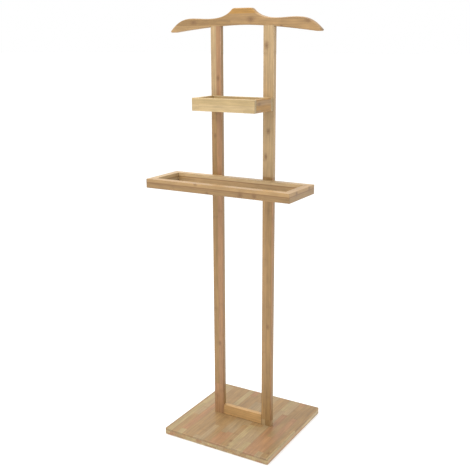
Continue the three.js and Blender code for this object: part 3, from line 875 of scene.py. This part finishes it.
def make_tray():
    """Four walls butted and dowelled, with a thin floor let into a groove."""
    shape = bpy.context.scene.valet_shape
    edge = 0.7 * shape.bar_edge
    low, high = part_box("tray_floor")
    groove_gap = Vector((0.25 * MM,) * 3)
    screws = [f"tray_screw_{side}_{height}" for side in SIDES for height in HEIGHTS]
    # The back wall and the left wall take the palest tones, cream and straw: painted light, which lifts
    # the shade on the inside of the tray.
    walls = (
        ("front", "tray_front", X, ("cream", "straw", "cream"), 31),
        ("back", "tray_back", X, ("cream", "straw"), 32),
        ("left", "tray_side_left", Y, ("cream", "straw"), 33),
        ("right", "tray_side_right", Y, ("amber", "caramel", "amber"), 34),
    )
    for place, node, along, tones, seed in walls:
        # On the right wall, the one mark is a painted shadow on its outer face, towards the top of its
        # front half, drawn in knuckle brown.
        finish = lacquered_bamboo(
            f"Lacquered Bamboo {node}", node, along, Z, tones, strip=11.6, layer=5.6, length=230,
            seed=seed, knuckles=0.35, marks=((-24, 5, 5, 12),) if place == "right" else (),
        )
        bm = bar(node, along, edge, shape.edge_steps, ends=place in ENDS)
        wall = place_piece(f"bamboo_{node}", bm, finish, "tray_bamboo", node)
        cut_away(wall, [block(low - groove_gap, high + groove_gap)])
        bore(wall, corner_dowels("tray", place) + (screws if place == "back" else []))
    # The floor's straw and cream are painted light too, against the shade inside the tray.
    finish = lacquered_bamboo(
        "Lacquered Bamboo tray_floor", "tray_floor", X, Y, ("straw", "cream"), strip=19, layer=8,
        length=240, seed=36, knuckles=0.4,
    )
    bm = bar("tray_floor", X, 0.4 * edge, 2)
    place_piece("bamboo_tray_floor", bm, finish, "tray_bamboo", "tray_floor")


def make_trouser_frame():
    """Four bars of two thick layers each, mitred at the corners like a picture frame."""
    shape = bpy.context.scene.valet_shape
    screws = [f"trouser_screw_{side}_{height}" for side in SIDES for height in HEIGHTS]
    marks = {
        "front": ((75, -10, -4, 10), (115, -10, -3, 9), (-57, -9, 12, 8), (-22, -10, -11, 7)),
        "right": ((-32, -10, 6, 8), (40, -10, 7, 8)),
    }
    bars = (
        ("front", X, -Y, ("honey", "caramel", "amber"), 42),
        ("back", X, Y, ("blush", "honey", "honey"), 94),
        # The left bar's cream is painted light, which lifts the shade on its inner face.
        ("left", Y, -X, ("blush", "honey", "cream"), 47),
        ("right", Y, X, ("honey", "amber", "amber"), 76),
    )
    for place, along, out, tones, seed in bars:
        node = f"trouser_bar_{place}"
        low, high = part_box(node)
        middle = (low + high) / 2
        half = (high - low) / 2
        outer = middle + out * half.dot(Vector([abs(part) for part in out]))
        mitres = []
        for end in (-1, 1):
            corner = outer + end * along * half.dot(along)
            mitres.append((corner, (end * along - out).normalized()))
        # Between each bar's two layers the glue line is drawn 2.2 mm wide and nearly full dark: partly a
        # real glue line, partly a painted shadow line.
        finish = lacquered_bamboo(
            f"Lacquered Bamboo {node}", node, along, Z.cross(along), tones, strip=24, layer=24,
            length=640, stagger=0.2, seed=seed, knuckles=0.3, seam_and_shadow_width=2.2, seam_and_shadow_depth=0.9,
            lower_layer=0.8, offset=(180, 0, -14.4), marks=marks.get(place, ()),
        )
        bm = bar(node, along, shape.bar_edge, shape.edge_steps, mitres)
        piece = place_piece(f"bamboo_{node}", bm, finish, "trouser_bamboo", node)
        bore(piece, corner_dowels("mitre", place) + (screws if place == "back" else []))


def make_screws():
    """Every screw of the stand."""
    finish = zinc_steel()
    shape = bpy.context.scene.valet_shape
    for node in sorted(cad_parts):
        if "_screw_" in node:
            make_screw(node, finish, shape)


def make_dowels():
    """Every dowel of the stand."""
    finish = turned_beech()
    for node in sorted(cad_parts):
        if "_dowel_" in node:
            make_dowel(node, finish)


# ---------------------------------------------------------------- studio


def make_studio():
    """A pale floor, a white surround, three soft lights and the camera."""
    light = bpy.context.scene.studio_light
    scene = bpy.context.scene
    bm = bmesh.new()
    bmesh.ops.create_grid(bm, x_segments=1, y_segments=1, size=STUDIO_FLOOR)
    floor = bpy.data.objects.new("studio_floor", finished_mesh(bm, "studio_floor"))
    scene.collection.objects.link(floor)
    finish, tree = new_finish("Matt White Floor")
    # Light of its own keeps the floor as white as the surround, and the shadows on it faint
    shader = add_node(tree, "ShaderNodeBsdfPrincipled", {
        "Base Color": linear("#c8c8c8"), "Roughness": 0.9, "Specular IOR Level": 0.1,
        "Emission Color": (1, 1, 1, 1), "Emission Strength": 0.52,
    })
    add_node(tree, "ShaderNodeOutputMaterial", {"Surface": shader.outputs[0]})
    floor.data.materials.append(finish)

    world = bpy.data.worlds.new("White Surround")
    world.use_nodes = True
    world.node_tree.nodes.clear()
    sky = add_node(
        world.node_tree, "ShaderNodeBackground", {"Color": (1, 1, 1, 1), "Strength": light.sky}
    )
    add_node(world.node_tree, "ShaderNodeOutputWorld", {"Surface": sky.outputs[0]})
    scene.world = world
    scene.view_settings.view_transform = "Standard"

    # Each lamp's place is from the middle of the stand, which it points at
    middle = sum((Vector(corner) for corner in CAD_BOX), Vector()) / 2
    lamps = (
        ("key", (-1.1, -2.1, 1.8), 1.3, light.key_power),
        ("fill", (2.4, -1.2, 0.6), 1.6, light.fill_power),
        ("top", (-0.5, -0.2, 2.1), 1.3, light.top_power),
    )
    for name, offset, width, power in lamps:
        lamp = bpy.data.lights.new(name, "AREA")
        lamp.shape = "DISK"
        lamp.size = width
        lamp.energy = power
        holder = bpy.data.objects.new(name, lamp)
        holder.location = middle + Vector(offset)
        holder.rotation_euler = (-Vector(offset)).to_track_quat("-Z", "Y").to_euler()
        scene.collection.objects.link(holder)

    camera = bpy.data.cameras.new("camera")
    camera.lens = light.lens
    holder = bpy.data.objects.new("camera", camera)
    aim = Euler((math.pi / 2 - light.pitch, 0, light.azimuth)).to_matrix()
    turn = aim @ Matrix.Rotation(light.roll, 3, "Z")
    holder.matrix_world = Matrix.Translation(Vector(light.place)) @ turn.to_4x4()
    scene.collection.objects.link(holder)
    scene.camera = holder


# ---------------------------------------------------------------- operators and panel


class BuildBase(bpy.types.Operator):
    """Build the square base board"""

    bl_idname = "valet.build_base"
    bl_label = "Base Board"

    def execute(self, context):
        make_base()
        return {"FINISHED"}


class BuildFeet(bpy.types.Operator):
    """Build the four felt feet"""

    bl_idname = "valet.build_feet"
    bl_label = "Felt Feet"

    def execute(self, context):
        make_feet()
        return {"FINISHED"}


class BuildUprights(bpy.types.Operator):
    """Build the two uprights"""

    bl_idname = "valet.build_uprights"
    bl_label = "Uprights"

    def execute(self, context):
        make_uprights()
        return {"FINISHED"}


class BuildRail(bpy.types.Operator):
    """Build the rail between the feet of the uprights"""

    bl_idname = "valet.build_rail"
    bl_label = "Bottom Rail"

    def execute(self, context):
        make_rail()
        return {"FINISHED"}


class BuildHanger(bpy.types.Operator):
    """Build the coat hanger board"""

    bl_idname = "valet.build_hanger"
    bl_label = "Hanger Board"

    def execute(self, context):
        make_hanger()
        return {"FINISHED"}


class BuildTray(bpy.types.Operator):
    """Build the tray's walls and floor"""

    bl_idname = "valet.build_tray"
    bl_label = "Tray"

    def execute(self, context):
        make_tray()
        return {"FINISHED"}


class BuildTrouserFrame(bpy.types.Operator):
    """Build the mitred trouser frame"""

    bl_idname = "valet.build_trouser_frame"
    bl_label = "Trouser Frame"

    def execute(self, context):
        make_trouser_frame()
        return {"FINISHED"}


class BuildScrews(bpy.types.Operator):
    """Build the countersunk screws"""

    bl_idname = "valet.build_screws"
    bl_label = "Screws"

    def execute(self, context):
        make_screws()
        return {"FINISHED"}


class BuildDowels(bpy.types.Operator):
    """Build the fluted dowels"""

    bl_idname = "valet.build_dowels"
    bl_label = "Dowels"

    def execute(self, context):
        make_dowels()
        return {"FINISHED"}


class BuildStudio(bpy.types.Operator):
    """Set up the floor, the lights and the camera"""

    bl_idname = "valet.build_studio"
    bl_label = "Studio"

    def execute(self, context):
        make_studio()
        return {"FINISHED"}


OPERATORS = (
    BuildBase, BuildFeet, BuildUprights, BuildRail, BuildHanger, BuildTray, BuildTrouserFrame,
    BuildScrews, BuildDowels, BuildStudio,
)


class ValetPanel(bpy.types.Panel):
    """Lists the parts of the stand and the settings they share"""

    bl_idname = "VALET_PT_parts"
    bl_label = "Bamboo Valet Stand"
    bl_space_type = "VIEW_3D"
    bl_region_type = "UI"
    bl_category = "Valet Stand"

    def draw(self, context):
        for operator in OPERATORS:
            self.layout.operator(operator.bl_idname)
        scene = context.scene
        for settings in (scene.valet_shape, scene.bamboo_tones, scene.studio_light):
            box = self.layout.box()
            for name in type(settings).__annotations__:
                box.prop(settings, name)


CLASSES = (ValetShape, BambooTones, StudioLight, *OPERATORS, ValetPanel)


def register():
    for cls in CLASSES:
        bpy.utils.register_class(cls)
    bpy.types.Scene.valet_shape = PointerProperty(type=ValetShape)
    bpy.types.Scene.bamboo_tones = PointerProperty(type=BambooTones)
    bpy.types.Scene.studio_light = PointerProperty(type=StudioLight)


def unregister():
    del bpy.types.Scene.valet_shape
    del bpy.types.Scene.bamboo_tones
    del bpy.types.Scene.studio_light
    for cls in reversed(CLASSES):
        bpy.utils.unregister_class(cls)


def main():
    """Build everything in order."""
    register()
    for operator in OPERATORS:
        group, name = operator.bl_idname.split(".")
        getattr(getattr(bpy.ops, group), name)()


if __name__ == "__main__":
    main()
